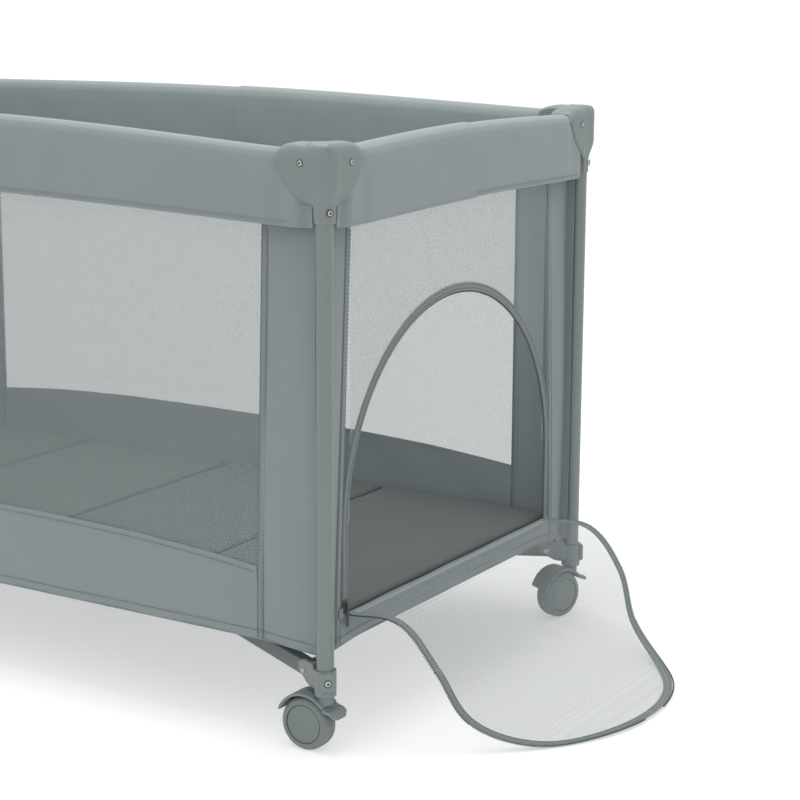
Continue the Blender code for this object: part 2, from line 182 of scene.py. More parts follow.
def clothMaterial(name, colour, yarn=0.0011, spread=0.10, lying=False, sheen=0.25, depth=0.00018):
    # plain weave over slubs and slow clouds of tone
    material, tree, shader = freshMaterial(name, 0.86, sheen=sheen)
    place, u, v = sheetCoordinates(tree, lying)
    turn = 2 * pi / yarn
    warp = maths(tree, "SINE", maths(tree, "MULTIPLY", u, turn))
    weft = maths(tree, "SINE", maths(tree, "MULTIPLY", v, turn))
    weave = maths(tree, "MULTIPLY", warp, weft)
    slub = noise(tree, place, 420.0, 3.0)
    cloud = noise(tree, place, 7.0, 3.0)
    tone = maths(tree, "MULTIPLY", maths(tree, "ADD", weave, 1.0), 0.13)
    tone = maths(tree, "ADD", tone, maths(tree, "MULTIPLY", slub, 0.45))
    tone = maths(tree, "ADD", tone, maths(tree, "MULTIPLY", cloud, 0.30))
    tinted(tree, shader, tone, colour, spread)
    height = maths(tree, "ADD", maths(tree, "MULTIPLY", weave, 0.5), slub)
    bumped(tree, shader, height, depth)
    return material


def netMaterial(name, thread, hole, holeCover, threadCover, pitch=0.0043):
    # knitted net in a diamond lattice; each cover says how much the thread or its hole hides; the holes take
    # a near black colour, painted shade that darkens what is seen through them
    material, tree, shader = freshMaterial(name, 0.8, sheen=0.2)
    place, u, v = sheetCoordinates(tree, False)
    join = tree.nodes.new("ShaderNodeCombineXYZ")
    tree.links.new(maths(tree, "ADD", u, v), join.inputs[0])
    tree.links.new(maths(tree, "SUBTRACT", u, v), join.inputs[1])
    cells = tree.nodes.new("ShaderNodeTexVoronoi")
    cells.voronoi_dimensions = "2D"
    cells.inputs["Scale"].default_value = 1 / pitch
    cells.inputs["Randomness"].default_value = 0.0
    tree.links.new(join.outputs[0], cells.inputs["Vector"])
    knit = tree.nodes.new("ShaderNodeMapRange")
    knit.interpolation_type = "SMOOTHSTEP"
    knit.inputs["From Min"].default_value = 0.26
    knit.inputs["From Max"].default_value = 0.46
    tree.links.new(cells.outputs["Distance"], knit.inputs["Value"])
    knit = knit.outputs[0]
    cover = maths(tree, "MULTIPLY_ADD", knit, threadCover - holeCover, holeCover)
    tree.links.new(cover, shader.inputs["Alpha"])
    fuzz = maths(tree, "MULTIPLY", noise(tree, place, 300.0), 0.12)
    mix = tree.nodes.new("ShaderNodeMix")
    mix.data_type = "RGBA"
    mix.inputs[6].default_value = (*hole, 1)
    mix.inputs[7].default_value = (*thread, 1)
    tree.links.new(maths(tree, "MULTIPLY_ADD", knit, 0.90, fuzz), mix.inputs[0])
    tree.links.new(mix.outputs[2], shader.inputs["Base Color"])
    bumped(tree, shader, cells.outputs["Distance"], 0.0004)
    return material


def mouldedMaterial(name, colour, roughness, grain=900.0, depth=0.00004, metallic=0.0, coat=0.0, spread=0.05):
    # fine grain with patches that are slightly duller or darker
    material, tree, shader = freshMaterial(name, roughness, metallic, coat=coat)
    place = tree.nodes.new("ShaderNodeTexCoord").outputs["Object"]
    fine = noise(tree, place, grain, 2.0)
    patch = noise(tree, place, 18.0, 4.0)
    tone = maths(tree, "ADD", maths(tree, "MULTIPLY", fine, 0.35), maths(tree, "MULTIPLY", patch, 0.65))
    tinted(tree, shader, tone, colour, spread)
    rough = maths(tree, "ADD", maths(tree, "MULTIPLY", patch, 0.14), roughness - 0.07)
    tree.links.new(rough, shader.inputs["Roughness"])
    bumped(tree, shader, fine, depth)
    return material


greys = {
    "cloth": (0.191, 0.224, 0.228),
    "mat": (0.058, 0.071, 0.070),
    "net": (0.400, 0.455, 0.460),
    # near black colour in every net's holes: painted shade seen through the holes
    "paintedHoleShade": (0.030, 0.037, 0.038),
    # the flap's net is the windows' net with darker thread: painted shade of the cloth lying behind the flap
    "shadedFlapNet": (0.215, 0.247, 0.250),
    "plastic": (0.160, 0.188, 0.189),
    "tube": (0.156, 0.184, 0.182),
    # darker than the tubes: painted shade that falls on the struts under the floor
    "strut": (0.098, 0.118, 0.116),
    "wheel": (0.146, 0.172, 0.170),
    "tape": (0.158, 0.186, 0.188),
    "thread": (0.105, 0.124, 0.125),
    "zip": (0.050, 0.060, 0.060),
    "steel": (0.420, 0.430, 0.420),
}
clothUpright = clothMaterial("cloth_upright", greys["cloth"])
clothLying = clothMaterial("cloth_lying", greys["cloth"], lying=True)
matCloth = clothMaterial("mat_cloth", greys["mat"], yarn=0.0014, lying=True, spread=0.14, sheen=0.1)
tapeCloth = clothMaterial("tape_cloth", greys["tape"], yarn=0.0018, spread=0.16, depth=0.0003)
threadFinish = clothMaterial("thread", greys["thread"], yarn=0.0006)
nearNet = netMaterial("open_net", greys["net"], greys["paintedHoleShade"], 0.19, 0.38)
farNet = netMaterial("close_net", greys["net"], greys["paintedHoleShade"], 0.50, 0.74)
# the flap's net takes the darker thread of painted shade
shadedFlapNet = netMaterial("flap_net", greys["shadedFlapNet"], greys["paintedHoleShade"], 0.28, 0.44)
plasticFinish = mouldedMaterial("moulded_plastic", greys["plastic"], 0.48)
tubeFinish = mouldedMaterial("powder_coat", greys["tube"], 0.38, grain=1400.0, metallic=0.15, coat=0.15)
# the struts' darker grey is painted shade
shadedStrutFinish = mouldedMaterial("shaded_strut_coat", greys["strut"], 0.42, grain=1400.0, metallic=0.15)
wheelFinish = mouldedMaterial("wheel_plastic", greys["wheel"], 0.55, grain=700.0)
zipFinish = mouldedMaterial("zip_plastic", greys["zip"], 0.42)
steelFinish = mouldedMaterial("plated_steel", greys["steel"], 0.28, metallic=1.0)
# near black: painted shade in the screw holes and the crosses of the heads
recessShadeFinish = mouldedMaterial("screw_recess_shade", (0.05, 0.055, 0.055), 0.5, metallic=0.6)
print("materials made")


def keepPiece(name, bm, material, body, sharp=40, closed=True):
    if closed:
        bmesh.ops.recalc_face_normals(bm, faces=bm.faces)
    mesh = bpy.data.meshes.new(name)
    bm.to_mesh(mesh)
    bm.free()
    mesh.materials.append(material)
    mesh.shade_smooth()
    mesh.set_sharp_from_angle(angle=radians(sharp))
    piece = bpy.data.objects.new(name, mesh)
    bpy.context.scene.collection.objects.link(piece)
    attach(piece, body)
    return piece


def settle(piece):
    # applies the piece's modifiers to its mesh
    graph = bpy.context.evaluated_depsgraph_get()
    mesh = bpy.data.meshes.new_from_object(piece.evaluated_get(graph))
    piece.modifiers.clear()
    piece.data = mesh


def clothGrid(bm, place, acrossSteps, alongSteps, thickness=0.0):
    # a grid whose every point is put where place(u, v) says
    made = bmesh.ops.create_grid(bm, x_segments=acrossSteps, y_segments=alongSteps, size=0.5)
    for v in made["verts"]:
        v.co = place(v.co.x + 0.5, v.co.y + 0.5)
    faces = list({face for v in made["verts"] for face in v.link_faces})
    if thickness:
        bmesh.ops.recalc_face_normals(bm, faces=faces)
        bmesh.ops.solidify(bm, geom=faces, thickness=thickness)
    return made["verts"]


def rows(values, t):
    # the value at t along evenly spaced rows
    spot = min(len(values) - 1, max(0.0, t * (len(values) - 1)))
    first = min(len(values) - 2, int(spot))
    share = spot - first
    a, b = values[first], values[first + 1]
    return tuple(p + (q - p) * share for p, q in zip(a, b))


def block(bm, low, high, round=0.0, segments=2, matrix=None):
    made = bmesh.ops.create_cube(bm, size=1.0)["verts"]
    low, high = Vector(low), Vector(high)
    bmesh.ops.scale(bm, vec=high - low, verts=made)
    bmesh.ops.translate(bm, vec=(low + high) / 2, verts=made)
    if round:
        edges = list({edge for v in made for edge in v.link_edges})
        made = bmesh.ops.bevel(
            bm, geom=edges, offset=round, offset_type="OFFSET", affect="EDGES",
            segments=segments, profile=0.5, material=-1, clamp_overlap=True,
        )["verts"]
    if matrix is not None:
        bmesh.ops.transform(bm, matrix=matrix, verts=made)
    return made


def rod(bm, start, end, radius, segments=24, round=0.0):
    start, end = Vector(start), Vector(end)
    along = end - start
    made = bmesh.ops.create_cone(
        bm, cap_ends=True, segments=segments, radius1=radius, radius2=radius, depth=along.length,
    )["verts"]
    if round:
        edges = {edge for v in made for edge in v.link_edges}
        rims = [edge for edge in edges if abs(edge.verts[0].co.z - edge.verts[1].co.z) < 1e-6]
        bevelled = bmesh.ops.bevel(
            bm, geom=rims, offset=round, offset_type="OFFSET", affect="EDGES",
            segments=3, profile=0.5, material=-1, clamp_overlap=True,
        )
        made = list({v for v in made if v.is_valid} | set(bevelled["verts"]))
    turn = along.to_track_quat("Z", "Y").to_matrix().to_4x4()
    bmesh.ops.transform(bm, matrix=Matrix.Translation((start + end) / 2) @ turn, verts=made)
    return made


def spun(bm, profile, matrix, steps=40):
    # a profile of (radius, height) spun round Z
    before = set(bm.verts)
    verts = [bm.verts.new((r, 0, z)) for r, z in profile]
    edges = [bm.edges.new(pair) for pair in zip(verts, verts[1:])]
    bmesh.ops.spin(
        bm, geom=verts + edges, cent=(0, 0, 0), axis=(0, 0, 1), angle=2 * pi, steps=steps, use_merge=True,
    )
    made = [v for v in bm.verts if v not in before]
    bmesh.ops.transform(bm, matrix=matrix, verts=made)
    bmesh.ops.remove_doubles(bm, verts=made, dist=0.00001)


def facing(point, direction):
    # a place at point whose Z looks along direction
    return Matrix.Translation(point) @ Vector(direction).to_track_quat("Z", "Y").to_matrix().to_4x4()


stitch = {"long": 0.0034, "wide": 0.0007, "proud": 0.0005, "pitch": 0.0052}


def sewn(bm, points, out):
    # a run of stitches along the points, standing on the cloth whose outside is out
    points = [Vector(p) for p in points]
    out = Vector(out)
    lengths = [(b - a).length for a, b in zip(points, points[1:])]
    count = int(sum(lengths) / stitch["pitch"])
    for i in range(count):
        reach = (i + 0.5) * stitch["pitch"]
        for a, b, length in zip(points, points[1:], lengths):
            if reach <= length:
                break
            reach -= length
        along = (b - a).normalized()
        turn = Matrix((along, out.cross(along), out)).transposed().to_4x4()
        made = bmesh.ops.create_cube(bm, size=1.0)["verts"]
        bmesh.ops.scale(bm, vec=(stitch["long"], stitch["wide"], stitch["proud"]), verts=made)
        bmesh.ops.transform(bm, matrix=Matrix.Translation(a + along * reach) @ turn, verts=made)


def folding(piece, side):
    # gives the piece a mesh of its own, the same on every side
    if sides[side]["along"].x:
        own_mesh(piece)
    else:
        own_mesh(piece)


def moulded(node, material, voxel=0.0010, soften=5, swell=0.0, shape=None):
    # a CAD part remade with the soft edges of a moulding
    source = frame["nodes"][node]
    bm = bmesh.new()
    bm.from_mesh(source.data)
    bmesh.ops.remove_doubles(bm, verts=bm.verts, dist=0.00002)
    piece = keepPiece("soft_" + node, bm, material, source["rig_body"], sharp=180, closed=False)
    skin = piece.modifiers.new("skin", "REMESH")
    skin.mode = "VOXEL"
    skin.voxel_size = voxel
    skin.use_smooth_shade = True
    settle(piece)
    bm = bmesh.new()
    bm.from_mesh(piece.data)
    for turn in range(soften):
        bmesh.ops.smooth_vert(
            bm, verts=bm.verts, factor=0.5, use_axis_x=True, use_axis_y=True, use_axis_z=True,
        )
    bm.normal_update()
    for v in bm.verts:
        v.co += v.normal * swell
        if shape:
            shape(v)
    bm.to_mesh(piece.data)
    bm.free()
    piece.data.materials.clear()
    piece.data.materials.append(material)
    piece.data.shade_smooth()
    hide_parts(node)
    return piece


def screw(bm, point, direction, radius):
    # a pan head with a dimple
    head = (
        (0, 0.0002), (radius * 0.34, 0.0002), (radius * 0.48, 0.0011),
        (radius * 0.80, 0.0010), (radius, 0.0003), (radius, -0.0010),
    )
    spun(bm, head, facing(point, direction), steps=20)


def sunkRing(bm, point, direction, radius):
    # a dark ring round a screw's head: painted shade of the hole that the head sits in
    ring = (
        (radius * 0.9, 0.0001), (radius * 1.26, 0.0002), (radius * 1.30, -0.0008),
        (radius * 0.9, -0.0008), (radius * 0.9, 0.0001),
    )
    spun(bm, ring, facing(point, direction), steps=20)


def crossRecess(bm, point, direction, radius):
    # dark bars on the head: painted shade of its cross recess
    place = facing(Vector(point) + Vector(direction).normalized() * 0.0004, direction)
    for turn in (0, 90):
        size = Vector((radius * 0.90, radius * 0.24, 0.0004))
        block(bm, -size / 2, size / 2, matrix=place @ Matrix.Rotation(radians(turn + 20), 4, "Z"))


post = {"radius": 0.0110, "low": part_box("post_front_door")[0].z, "high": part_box("post_front_door")[1].z}
for corner, (sx, sy) in corners.items():
    bm = bmesh.new()
    axis = Vector((sx * postX, sy * postY, 0))
    rod(bm, axis + up * post["low"], axis + up * post["high"], post["radius"], segments=48)
    tube = keepPiece("tube_" + corner, bm, tubeFinish, "corner_" + corner)
    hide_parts("post_" + corner)
print("posts made")

cap = {
    "swell": 0.0012,        # stands proud of the sleeves beside it
    "crown": 0.0015,        # fall of the top from its middle to its edges
    "halfWide": 0.0175,
    "shoulder": 0.0125,     # radius between the top and the outer faces
    "foot": 0.36,           # how much narrower the column is at its foot
    "lift": 0.0050,         # of the column's foot
    "tipFall": 0.0035,      # of the top towards the tips of the ears
    "screw": 0.0035,
    "screwReach": 0.0225,   # post axis to a side screw
    "screwHeight": 0.7365,
    "lowScrew": (0.0142, 0.6785),
    "lowScrewTurn": 18,     # degrees from the diagonal towards the ends
}
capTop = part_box("cap_front_door")[1].z


def capShape(v):
    # crowns the top, rounds the tips of the ears and narrows the column to the post
    inX, inY = postX - abs(v.co.x), postY - abs(v.co.y)
    reach = max(inX, inY, 0.0)
    across = min(1.0, min(abs(inX), abs(inY)) / cap["halfWide"])
    v.co.z -= cap["crown"] * across ** 2 * ease((v.co.z - capTop + 0.012) / 0.012)
    v.co.z -= cap["tipFall"] * ease((reach - 0.034) / 0.024) * ease((v.co.z - capTop + 0.036) / 0.036)
    bend = cap["shoulder"]
    out = max(-inX, -inY, 0.0)
    t = min(1.0, max(0.0, 1 - (cap["halfWide"] + cap["swell"] - out) / bend))
    v.co.z -= bend * (1 - sqrt(1 - t * t)) * ease((v.co.z - capTop + 2.4 * bend) / (1.6 * bend))
    column = 1 - ease((reach - 0.0165) / 0.008)
    narrow = cap["foot"] * column * ease((0.712 - v.co.z) / 0.030)
    v.co.x += inX * narrow * (1 if v.co.x > 0 else -1)
    v.co.y += inY * narrow * (1 if v.co.y > 0 else -1)
    v.co.z += cap["lift"] * column * ease((0.690 - v.co.z) / 0.030)


for corner, (sx, sy) in corners.items():
    axis = Vector((sx * postX, sy * postY, 0))
    moulded(
        "cap_" + corner, plasticFinish, voxel=0.0011, soften=7, swell=cap["swell"], shape=capShape,
    )
    face = cap["halfWide"] + cap["swell"] + 0.0003
    steel, dark = bmesh.new(), bmesh.new()
    turn = radians(45 - cap["lowScrewTurn"])
    outwards = Vector((sx * cos(turn), sy * sin(turn), 0))
    reach, height = cap["lowScrew"]
    screws = (
        (axis + Vector((-sx * cap["screwReach"], sy * face, cap["screwHeight"])), Vector((0, sy, 0))),
        (axis + Vector((sx * face, -sy * cap["screwReach"] * 1.35, cap["screwHeight"])), Vector((sx, 0, 0))),
        (axis + outwards * reach + up * height, outwards),
    )
    for point, direction in screws:
        screw(steel, point, direction, cap["screw"])
        crossRecess(dark, point, direction, cap["screw"])
        sunkRing(dark, point, direction, cap["screw"])
    keepPiece("cap_screws_" + corner, steel, steelFinish, "corner_" + corner, sharp=30)
    keepPiece("cap_recesses_" + corner, dark, recessShadeFinish, "corner_" + corner, sharp=30)
print("caps made")

footBracket = {
    "plate": (0.0205, 0.0250, 0.0040),      # wide, high, deep
    "reach": 0.0148,        # post axis to the plate
    "height": 0.0945,
    "screw": 0.0040,
    "rivet": (0.0360, 0.0128, 0.0980),      # along the strut, aside, up
    "strutStart": 0.0295,
    "strut": (0.0080, 0.0110),      # half its width and height
}


def strutLine(corner):
    # plan direction of a strut, from its post towards the hub
    sx, sy = corners[corner]
    box = middle("strut_" + corner)
    run = Vector((box.x - sx * postX, box.y - sy * postY, 0))
    return run.normalized()


def bracketShape(axis, inward):
    def shape(v):
        # the collar ends level with the screw's plate
        if v.co.z > 0.105 and Vector((v.co.x - axis.x, v.co.y - axis.y)).length < 0.0155:
            v.co.z = 0.105 + (v.co.z - 0.105) * 0.25
        # narrows the foot of the two cheeks
        reach = (v.co - axis).dot(inward)
        if reach > 0.018 and v.co.z < 0.100:
            v.co.z += 0.011 * ease((reach - 0.018) / 0.030) * ease((0.100 - v.co.z) / 0.016)
        if reach > 0.030 and v.co.z > 0.100:
            v.co.z -= 0.0045 * ease((reach - 0.034) / 0.012) * ease((v.co.z - 0.100) / 0.010)
    return shape


for corner, (sx, sy) in corners.items():
    axis = Vector((sx * postX, sy * postY, 0))
    inward = strutLine(corner)
    aside = inward.cross(up)
    moulded(
        "foot_bracket_" + corner, plasticFinish, voxel=0.0009, soften=4, swell=0.0004,
        shape=bracketShape(axis, inward),
    )
    diagonal = Vector((sx, sy, 0)).normalized()
    wide, high, deep = footBracket["plate"]
    bm = bmesh.new()
    face = facing(axis + diagonal * footBracket["reach"] + up * footBracket["height"], diagonal)
    face @= Matrix.Rotation(radians(90), 4, "Z")
    block(
        bm, (-high / 2, -wide / 2, -deep), (high / 2, wide / 2, deep / 2),
        round=0.0040, segments=4, matrix=face,
    )
    keepPiece("screw_plate_" + corner, bm, plasticFinish, "corner_" + corner)
    steel, dark = bmesh.new(), bmesh.new()
    point = axis + diagonal * (footBracket["reach"] + deep / 2 + 0.0002) + up * footBracket["height"]
    screw(steel, point, diagonal, footBracket["screw"])
    crossRecess(dark, point, diagonal, footBracket["screw"])
    sunkRing(dark, point, diagonal, footBracket["screw"])
    along, across, height = footBracket["rivet"]
    for way in (1, -1):
        point = axis + inward * along + aside * way * across + up * height
        screw(steel, point, aside * way, footBracket["screw"])
    keepPiece("foot_screws_" + corner, steel, steelFinish, "corner_" + corner, sharp=30)
    keepPiece("foot_recess_" + corner, dark, recessShadeFinish, "corner_" + corner, sharp=30)

    low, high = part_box("strut_" + corner)
    bm = bmesh.new()
    near = axis + inward * footBracket["strutStart"]
    far = Vector((low.x if sx > 0 else high.x, low.y if sy > 0 else high.y, 0))
    length = (far - near).length - 0.003
    wide, high = footBracket["strut"]
    turn = Matrix.Translation(near + up * middle("strut_" + corner).z)
    turn @= Matrix.Rotation(atan2(inward.y, inward.x), 4, "Z")
    block(bm, (0, -wide, -high), (length, wide, high), round=0.0035, segments=4, matrix=turn)
    strut = keepPiece("flat_tube_" + corner, bm, shadedStrutFinish, "strut_" + corner)
    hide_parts("strut_" + corner)
print("brackets and struts made")

for node in ("centre_hub", "rail_lock_front", "rail_lock_back", "rail_lock_door", "rail_lock_plain"):
    moulded(node, plasticFinish, voxel=0.0016, soften=2)
for node in ("fixed_foot_front", "fixed_foot_back"):
    moulded(node, plasticFinish, voxel=0.0010, soften=3)
for node, thing in frame["nodes"].items():
    if node.startswith("top_rail"):
        thing.data.materials.clear()
        thing.data.materials.append(tubeFinish)
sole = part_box("centre_foot_pad")[1]
bm = bmesh.new()
soleProfile = (
    (0, 0), (sole.x - 0.004, 0), (sole.x - 0.001, 0.001), (sole.x, 0.003),
    (sole.x, sole.z - 0.001), (sole.x - 0.001, sole.z), (0, sole.z),
)
spun(bm, soleProfile, Matrix.Identity(4), steps=48)
pad = keepPiece("foot_rubber", bm, wheelFinish, "hub")
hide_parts("centre_foot_pad")
print("hub and feet made")

wheel = {
    "radius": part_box("caster_wheel_front")[1].z / 2,
    "halfWide": 0.0135,
    "disc": 0.0243,         # radius of the inset disc on the face
    "groove": 0.0010,
}


def casterPlace(where):
    # from a caster that trails along X with its face to +Y, to its corner
    sy = -1 if where == "front" else 1
    centre = middle("caster_wheel_" + where)
    trail = Vector((centre.x - postX, centre.y - sy * postY, 0))
    place = Matrix.Translation(Vector((postX, sy * postY, 0)))
    return place @ Matrix.Rotation(atan2(trail.y, trail.x), 4, "Z"), trail.length


def pedalShape(place):
    back = place.inverted()

    def shape(v):
        # droops towards its tip, whose corners are round
        local = back @ v.co
        out = max(0.0, -0.008 - local.x)
        v.co.z += 0.0040 * sin(pi * min(1.0, out / 0.019))
        corner = ease((abs(local.y + 0.0018) - 0.0080) / 0.0080) * ease((out - 0.0100) / 0.0070)
        v.co += place.to_3x3() @ Vector((0.0042 * corner, 0, 0.0030 * corner))
    return shape


for where in ("front", "back"):
    place, trail = casterPlace(where)
    axle = place @ Vector((trail, 0, wheel["radius"]))
    faceOut = place.to_3x3() @ Vector((0, 1, 0))
    r, h, d, g = wheel["radius"], wheel["halfWide"], wheel["disc"], wheel["groove"]
    profile = (
        (0, h - 0.0012), (d * 0.5, h - 0.0010), (d - 0.0010, h - 0.0006), (d, h - 0.0012),
        (d + 0.0002, h - 0.0026), (d + g, h - 0.0026), (d + g + 0.0002, h - 0.0004), (d + g + 0.0012, h),
        (r - 0.0055, h - 0.0004), (r - 0.0022, h - 0.0022), (r - 0.0005, h - 0.0050), (r, h - 0.0080),
        (r, 0.0014), (r - 0.0007, 0.0010), (r - 0.0007, -0.0010), (r, -0.0014),
        (r, 0.0080 - h), (r - 0.0005, 0.0050 - h), (r - 0.0022, 0.0022 - h), (r - 0.0055, 0.0004 - h),
        (d, -h), (0.006, -h), (0.0045, 0.0010 - h), (0, 0.0010 - h),
    )
    bm = bmesh.new()
    spun(bm, profile, facing(axle, faceOut), steps=72)
    tyre = keepPiece("wheel_" + where, bm, wheelFinish, "caster_wheel_" + where, sharp=50)
    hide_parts("caster_wheel_" + where)
    moulded("caster_hood_" + where, plasticFinish, voxel=0.0008, soften=4, swell=0.0003)
    moulded(
        "brake_pedal_" + where, plasticFinish, voxel=0.0006, soften=3, swell=0.0003,
        shape=pedalShape(place),
    )
print("casters made")

sleeve = {
    # outwards from the rail, and share of the height, from the outer hem over to the inner one
    "section": (
        (0.0160, 0.000), (0.0172, 0.018), (0.0167, 0.046), (0.0175, 0.070), (0.0179, 0.170),
        (0.0181, 0.340), (0.0182, 0.510), (0.0181, 0.650), (0.0176, 0.780), (0.0163, 0.880),
        (0.0132, 0.950), (0.0074, 0.990), (0.0000, 1.000), (-0.0074, 0.990), (-0.0132, 0.950),
        (-0.0163, 0.880), (-0.0175, 0.730), (-0.0176, 0.440), (-0.0171, 0.200), (-0.0165, 0.060),
        (-0.0158, 0.010),
    ),
    "low": 0.6590,
    "high": 0.7506,
    "thick": 0.0018,
    "short": 0.0120,        # from the post axis to where a sleeve starts, under the cap
    "rise": {"front": 0.0195, "back": 0.0100, "door": 0.0085, "plain": 0.0085},
    "lowShare": 0.55,       # of the rise, that the hem takes part in
    "hem": 0.006,
}
ends = {
    "front": ("door", "plain"), "back": ("door", "plain"),
    "door": ("front", "back"), "plain": ("front", "back"),
}
endSign = {"door": 1, "plain": -1, "front": -1, "back": 1}


def sleeveAt(side, along, share):
    # height at a share of a sleeve's depth; the top and the hem rise towards the middle of a side
    reach = sides[side]["half"] - sleeve["short"]
    rise = sleeve["rise"][side] * max(0.0, 1 - (along / reach) ** 2) ** 1.5
    low = sleeve["low"] + rise * sleeve["lowShare"]
    return low + (sleeve["high"] + rise - low) * share


def sleeveTuck(gap):
    # how far a sleeve keeps its width near a post, where it runs in under the cap
    return 1 - 0.10 * ease((0.070 - gap) / 0.012) - 0.45 * ease((0.031 - gap) / 0.012)


for side, pair in ends.items():
    reach = sides[side]["half"] - sleeve["short"]
    for end in pair:
        sign = endSign[end]
        body = "top_rail_" + side + "_" + end

        def place(u, v):
            # closer rows near the cap
            along = sign * reach * (1 - (1 - u) ** 1.5)
            out, share = rows(sleeve["section"], v)
            ripple = 0.0005 * sin(along * 37 + share * 2.7) + 0.0003 * sin(along * 91 - share * 4)
            ripple *= ease((0.95 - share) / 0.3) * ease(share / 0.3)
            out = out * sleeveTuck(sides[side]["half"] - abs(along)) + ripple * (1 if out > 0 else -1)
            return onSide(side, along, out, sleeveAt(side, along, share))

        bm = bmesh.new()
        clothGrid(bm, place, 64 if reach > 0.4 else 40, 60, thickness=sleeve["thick"])
        cover = keepPiece("sleeve_" + side + "_" + end, bm, clothUpright, body, sharp=80)
        if end == pair[0]:
            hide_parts("top_band_" + side)
        line = []
        for i in range(25):
            along = sign * (reach - 0.012) * i / 24
            out = 0.0184 * sleeveTuck(sides[side]["half"] - abs(along))
            line.append(onSide(side, along, out, sleeveAt(side, along, 0) + sleeve["hem"]))
        bm = bmesh.new()
        sewn(bm, line, sides[side]["out"])
        seam = keepPiece("sleeve_seam_" + side + "_" + end, bm, tapeCloth, body)
        for piece in (cover, seam):
            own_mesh(piece)
print("sleeves made")

wall = {
    "out": -0.0133,         # from the post axes to the cloth
    "tall": 0.580,
    "top": 0.700,           # the cloth runs up inside the sleeves
    "netTop": 0.674,
    "end": 0.0,             # from the post axis to the end of the cloth
    "edge": {"front": 0.499, "back": 0.503, "door": 0.254, "plain": 0.258},    # of a window, at its top
    "slant": {"front": -0.012, "back": 0.0, "door": 0.024, "plain": 0.0},
    "binding": 0.0115,
    "thick": 0.0012,
    "cord": 0.0016,         # radius of the cord along the foot
    "foot": 0.1250,
    "dip": 0.0055,
    "sill": 0.2375,
    "sillFall": 0.020,
}
door = {"half": 0.264, "sill": 0.159, "spring": 0.268, "top": 0.536, "leg": 0.10}


def windowEdge(side, height):
    return wall["edge"][side] + wall["slant"][side] * min(1.0, max(0.0, (0.65 - height) / 0.48))


def footEdge(side, along):
    gap = sides[side]["half"] - abs(along)
    return wall["foot"] - wall["dip"] * ease((0.105 - gap) / 0.09)


def windowSill(side, along):
    if side == "door":
        return door["sill"] + 0.001
    return wall["sill"] - wall["sillFall"] * min(1.0, abs(along) / wall["edge"][side]) ** 3


def archAt(t, grow=0.0):
    # along the door's arch from its left foot, as (across, height)
    half, rise, leg = door["half"] + grow, door["top"] - door["spring"] + grow, door["leg"]
    if t < leg:
        return -half, door["sill"] + (door["spring"] - door["sill"]) * t / leg
    if t > 1 - leg:
        return half, door["sill"] + (door["spring"] - door["sill"]) * (1 - t) / leg
    turn = pi * (1 - (t - leg) / (1 - 2 * leg))
    return half * cos(turn), door["spring"] + rise * sin(turn)


def beyondArch(t):
    # the edge of the door's net, straight out from the arch
    across, height = archAt(t)
    if t < door["leg"] or t > 1 - door["leg"]:
        return (1 if across > 0 else -1) * windowEdge("door", height), height
    direction = Vector((across, height - door["spring"])).normalized()
    reach = 1.0
    if direction.y > 0.001:
        reach = (wall["netTop"] - door["spring"]) / direction.y
    for step in range(3):
        edge = windowEdge("door", door["spring"] + direction.y * reach)
        if abs(direction.x) * reach > edge:
            reach = edge / abs(direction.x)
    return direction.x * reach, door["spring"] + direction.y * reach


